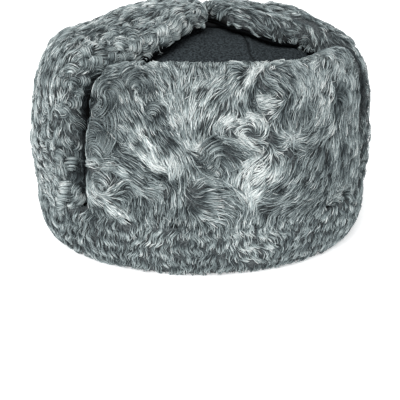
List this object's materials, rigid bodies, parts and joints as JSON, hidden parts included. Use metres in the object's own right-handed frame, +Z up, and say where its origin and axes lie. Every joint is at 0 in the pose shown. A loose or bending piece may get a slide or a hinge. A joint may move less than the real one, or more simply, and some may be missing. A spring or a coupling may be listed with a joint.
{
  "type": "karakul ear-flap hat",
  "caption": "Grey karakul fur hat with its visor, ear flaps and neck flap turned up round a dark wool crown, open below for a head.",
  "frame": {"origin": "middle of the hat's box, on the surface that its rim stands on", "axes": "-Y is the front with the visor, +X is the wearer's left and +Z is up"},
  "size_m": [0.2475, 0.2388, 0.1597],
  "materials": {
    "wool_cloth": "felted charcoal wool",
    "facing_cloth": "dark wool",
    "silky_fur": "long wavy grey karakul fleece",
    "curled_fur": "tightly curled grey karakul fleece",
    "band_fur": "short wavy grey karakul fleece",
    "ribbon": "matt ribbon"
  },
  "bodies": {
    "root": {"crown": "wool_cloth", "fur_band": "band_fur", "visor": "silky_fur", "neck_flap": "curled_fur", "ear_flap_left": "curled_fur", "ear_flap_right": "curled_fur", "facing_left": "facing_cloth", "facing_right": "facing_cloth", "flap_tie": "ribbon"}
  },
  "joints": []
}
